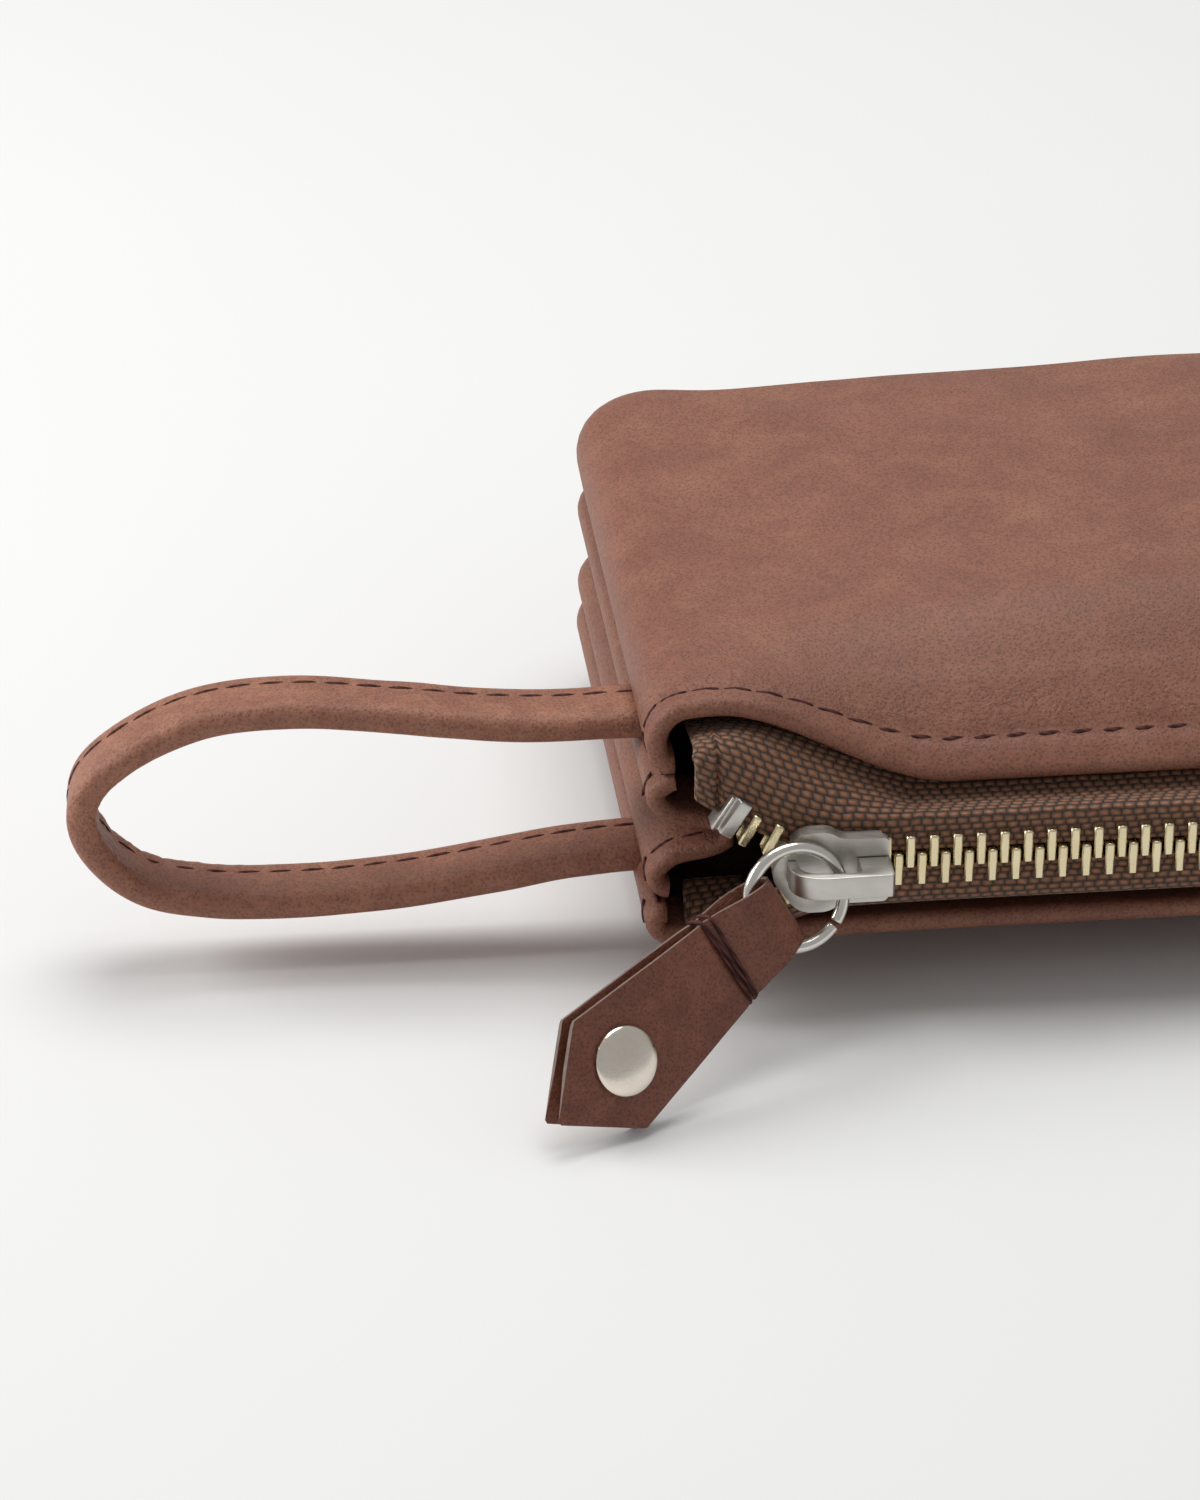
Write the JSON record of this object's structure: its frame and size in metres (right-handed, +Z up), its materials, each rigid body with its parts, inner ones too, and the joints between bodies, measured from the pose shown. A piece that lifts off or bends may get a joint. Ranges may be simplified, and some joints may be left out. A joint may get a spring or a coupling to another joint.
{
  "type": "zippered pouch",
  "caption": "Flat leather pouch with an inward-folding gusset, a metal zip across the mouth, a leather zip pull on a ring and a wrist strap.",
  "frame": {"origin": "middle of the flat patch of the back panel that the pouch rests on", "axes": "+X along the zip, from its closed end to its open end; +Y from the mouth to the back; +Z up, from the back panel to the front panel"},
  "size_m": [0.2613, 0.1172, 0.0404],
  "materials": {
    "leather": "matt pull-up leather, fine pores",
    "dark_leather": "darker leather with painted edges",
    "tape": "woven cotton-look zip tape",
    "thread": "twisted polyester thread",
    "tooth_brass": "polished pale brass",
    "nickel": "satin nickel plate",
    "rivet_nickel": "polished nickel plate"
  },
  "bodies": {
    "pouch": {"front_panel": "leather", "back_panel": "leather", "through_gusset": "leather", "front_hem_thread": "thread", "back_hem_thread": "thread", "upper_seam_thread": "thread", "lower_seam_thread": "thread", "front_zip_tape": "tape", "back_zip_tape": "tape", "front_tooth_row": "tooth_brass", "back_tooth_row": "tooth_brass", "front_top_stop": "nickel", "back_top_stop": "nickel", "bottom_stop": "nickel"},
    "slider": {"slider_body": "nickel", "slider_cap": "nickel", "lock_spring": "nickel"},
    "ring": {"pull_ring": "nickel"},
    "pull": {"pull_tab": "dark_leather", "pull_bar_tack": "thread", "pull_rivet_cap": "rivet_nickel", "pull_rivet_post": "rivet_nickel"},
    "strap": {"wrist_strap": "leather"}
  },
  "joints": [
    {"name": "slider_travel", "type": "slide", "parent": "pouch", "child": "slider", "axis": [1, 0, 0], "range_m": [0, 0.158], "deforming": ["front_tooth_row", "back_tooth_row", "front_zip_tape", "back_zip_tape"]},
    {"name": "ring_swing", "type": "hinge", "parent": "slider", "child": "ring", "pos_m": [-0.0802, -0.0509, 0.02065], "axis": [-0.4853, 0.1343, 0.864], "range_deg": [0, 95]},
    {"name": "pull_swing", "type": "hinge", "parent": "ring", "child": "pull", "pos_m": [-0.08938, -0.05461, 0.01585], "axis": [0.5144, -0.1226, -0.8487], "range_deg": [-20, 40]},
    {"name": "strap_swing", "type": "hinge", "parent": "pouch", "child": "strap", "pos_m": [-0.1043, -0.0265, 0.0196], "axis": [0, 0, 1], "range_deg": [-75, 45]}
  ]
}
